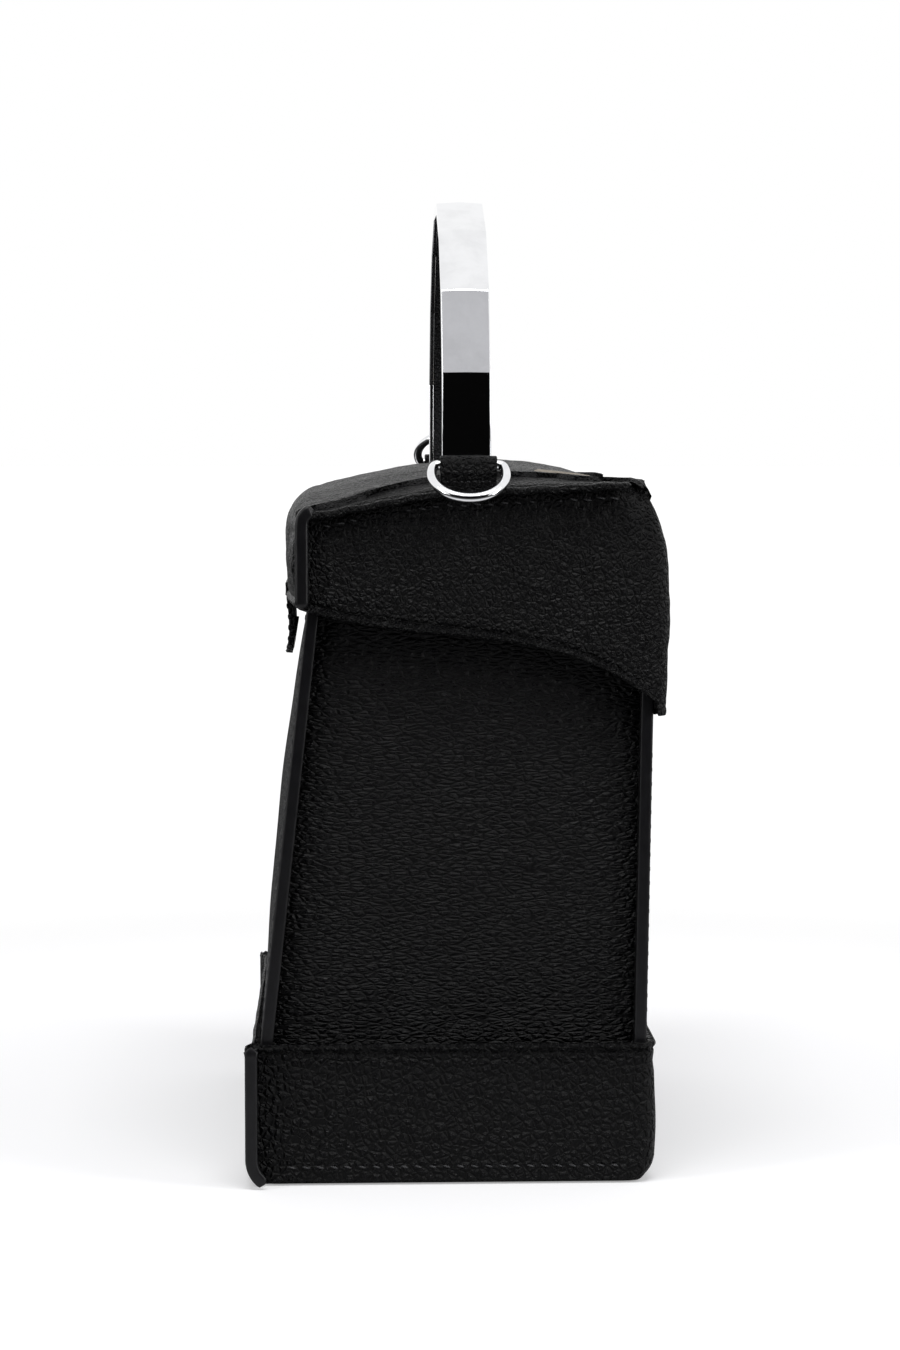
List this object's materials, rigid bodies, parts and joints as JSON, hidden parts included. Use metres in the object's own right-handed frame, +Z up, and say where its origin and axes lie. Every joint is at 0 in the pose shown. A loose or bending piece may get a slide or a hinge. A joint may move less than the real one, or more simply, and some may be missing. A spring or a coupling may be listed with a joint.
{
  "type": "handbag",
  "caption": "Structured leather handbag with a base band, a hinged hood lid, a faceted metal arch handle and a D-ring at each end.",
  "frame": {"origin": "on the underside of the base, in the upright plane of the handle and the two D-rings, at mid-length", "axes": "+X along the bag's length, +Y towards the back with the lid's hinge, -Y towards the front with the closure tab, +Z up"},
  "size_m": [0.1727, 0.1207, 0.285],
  "materials": {
    "black_leather": "semi-gloss pebble grain",
    "chrome_plate": "mirror",
    "steel_hardware": "satin",
    "stiffener_board": "matte",
    "lining_cloth": "fine woven",
    "magnet": "plated"
  },
  "bodies": {
    "bag": {"front_panel": "black_leather", "back_panel": "black_leather", "gusset_right": "black_leather", "gusset_left": "black_leather", "mouth_facing": "black_leather", "base_front": "black_leather", "base_wrap": "black_leather", "bottom_panel": "black_leather", "hinge_leaf_body": "black_leather", "front_board": "stiffener_board", "back_board": "stiffener_board", "gusset_board_right": "stiffener_board", "gusset_board_left": "stiffener_board", "base_board": "stiffener_board", "body_lining": "lining_cloth", "slip_pocket": "lining_cloth", "body_magnet": "magnet"},
    "hood": {"hinge_leaf_hood": "black_leather", "hood_cover": "black_leather", "lid_board": "stiffener_board", "hood_lining": "lining_cloth", "tab_root": "black_leather", "handle_band": "chrome_plate", "handle_inlay": "black_leather", "clamp_plates": "steel_hardware", "handle_studs": "steel_hardware", "stud_nuts": "steel_hardware", "ring_loop_right": "black_leather", "ring_loop_left": "black_leather"},
    "closure_tab": {"closure_tab": "black_leather", "tab_magnet": "magnet"},
    "d_ring_right": {"d_ring_right": "chrome_plate"},
    "d_ring_left": {"d_ring_left": "chrome_plate"}
  },
  "joints": [
    {"name": "hood_hinge", "type": "hinge", "parent": "bag", "child": "hood", "pos_m": [0, 0.05416, 0.1349], "axis": [-1, 0, 0], "range_deg": [0, 105]},
    {"name": "tab_hinge", "type": "hinge", "parent": "hood", "child": "closure_tab", "pos_m": [0, -0.0531, 0.1657], "axis": [-1, 0, 0], "range_deg": [0, 95]},
    {"name": "right_ring_swivel", "type": "hinge", "parent": "hood", "child": "d_ring_right", "pos_m": [0.0786, 0, 0.2063], "axis": [0, -1, 0], "range_deg": [-22, 179]},
    {"name": "left_ring_swivel", "type": "hinge", "parent": "hood", "child": "d_ring_left", "pos_m": [-0.0786, 0, 0.2063], "axis": [0, -1, 0], "range_deg": [0, 200]}
  ]
}
